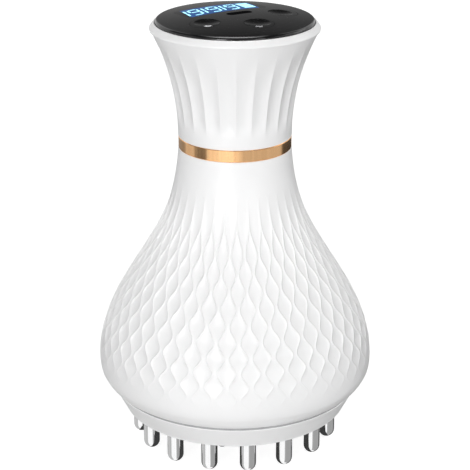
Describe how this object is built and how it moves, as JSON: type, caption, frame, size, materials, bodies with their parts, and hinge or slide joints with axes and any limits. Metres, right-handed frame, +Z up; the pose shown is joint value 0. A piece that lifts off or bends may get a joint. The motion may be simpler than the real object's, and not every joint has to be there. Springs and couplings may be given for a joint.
{
  "type": "body massager",
  "caption": "Vase-shaped cordless body massager with a crowned control panel, fluted neck, trim ring, leaf-relief belly and a head of round-tipped metal pins.",
  "frame": {"origin": "on the object's axis at the level of the massage pins' tips, on which it stands", "axes": "+Z up along the axis to the control panel, -Y towards the front, where the middle button lies, +X along the display to its right"},
  "size_m": [0.098, 0.098, 0.1552],
  "materials": {
    "white_casing": "satin gloss white moulded plastic",
    "gold_trim": "polished copper-gold",
    "base_casing": "satin off-white moulded plastic",
    "seal": "soft grey",
    "pin_chrome": "mirror polished",
    "board": "green solder mask",
    "screw_steel": "zinc plated",
    "frame_plastic": "plain moulded",
    "motor_steel": "drawn steel",
    "dark_plastic": "black moulded",
    "weight_brass": "sintered",
    "cell_wrap": "blue shrink wrap over a steel can",
    "socket_steel": "drawn steel shell",
    "display_blue": "blue lit figures",
    "window_lens": "smoked clear lens",
    "black_gloss": "piano black",
    "black_button": "satin black"
  },
  "bodies": {
    "root": {"neck_shell": "white_casing", "trim_ring": "gold_trim", "belly_shell": "white_casing", "base_gasket": "seal", "base_ring": "base_casing", "head_plate": "base_casing", "outer_pins": "pin_chrome", "inner_pins": "pin_chrome", "contact_board": "board", "head_screws": "screw_steel", "inner_frame": "frame_plastic", "motor_can": "motor_steel", "motor_end_cap": "dark_plastic", "motor_clamp": "frame_plastic", "clamp_screws": "screw_steel", "power_board": "board", "battery_pad": "seal", "battery_cell": "cell_wrap", "battery_cap": "frame_plastic", "panel_carrier": "frame_plastic", "carrier_screws": "screw_steel", "control_board": "board", "board_screws": "screw_steel", "button_switches": "dark_plastic", "charging_socket": "socket_steel", "display_module": "display_blue", "display_window": "window_lens", "control_panel": "black_gloss"},
    "motor_rotor": {"motor_shaft": "motor_steel", "eccentric_weight": "weight_brass"},
    "power_cap": {"power_button": "black_button"},
    "mode_cap": {"mode_button": "black_button"},
    "level_cap": {"level_button": "black_button"}
  },
  "joints": [
    {"name": "motor_spin", "type": "hinge", "parent": "root", "child": "motor_rotor", "pos_m": [0, 0, 0.045], "axis": [0, 0, 1], "continuous": true},
    {"name": "power_press", "type": "slide", "parent": "root", "child": "power_cap", "axis": [0, 0, -1], "range_m": [0, 0.0004], "stiffness_N_per_m": 2000},
    {"name": "mode_press", "type": "slide", "parent": "root", "child": "mode_cap", "axis": [0, 0, -1], "range_m": [0, 0.0004], "stiffness_N_per_m": 2000},
    {"name": "level_press", "type": "slide", "parent": "root", "child": "level_cap", "axis": [0, 0, -1], "range_m": [0, 0.0004], "stiffness_N_per_m": 2000}
  ]
}
